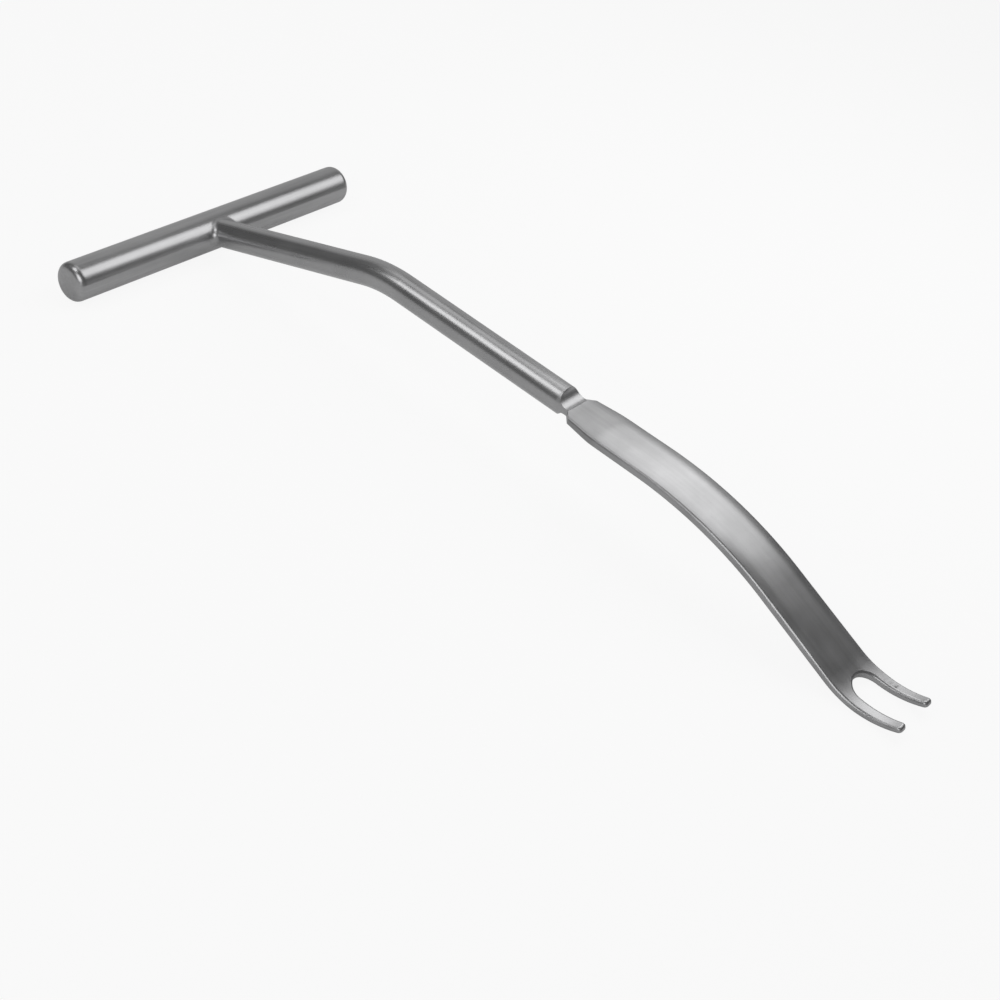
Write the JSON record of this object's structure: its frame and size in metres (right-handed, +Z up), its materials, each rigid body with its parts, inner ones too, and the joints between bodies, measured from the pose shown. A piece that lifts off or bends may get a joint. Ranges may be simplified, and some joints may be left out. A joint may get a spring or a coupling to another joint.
{
  "type": "glenoid retractor",
  "caption": "Hand-held bone retractor: round cross-bar handle, bent round shank and a curved flat blade with a forked tip.",
  "frame": {"origin": "under the middle of the bounding box, on the surface the retractor lies on", "axes": "+X from the handle towards the blade's tips, +Y along the handle bar, +Z up"},
  "size_m": [0.2758, 0.116, 0.0335],
  "materials": {
    "handle_bar": "satin, lengthwise polish",
    "shank": "satin",
    "blade": "satin, ground edges",
    "weld": "dressed weld metal"
  },
  "bodies": {
    "root": {"handle_bar": "handle_bar", "shank": "shank", "blade": "blade", "handle_weld": "weld", "neck_weld": "shank"}
  },
  "joints": []
}
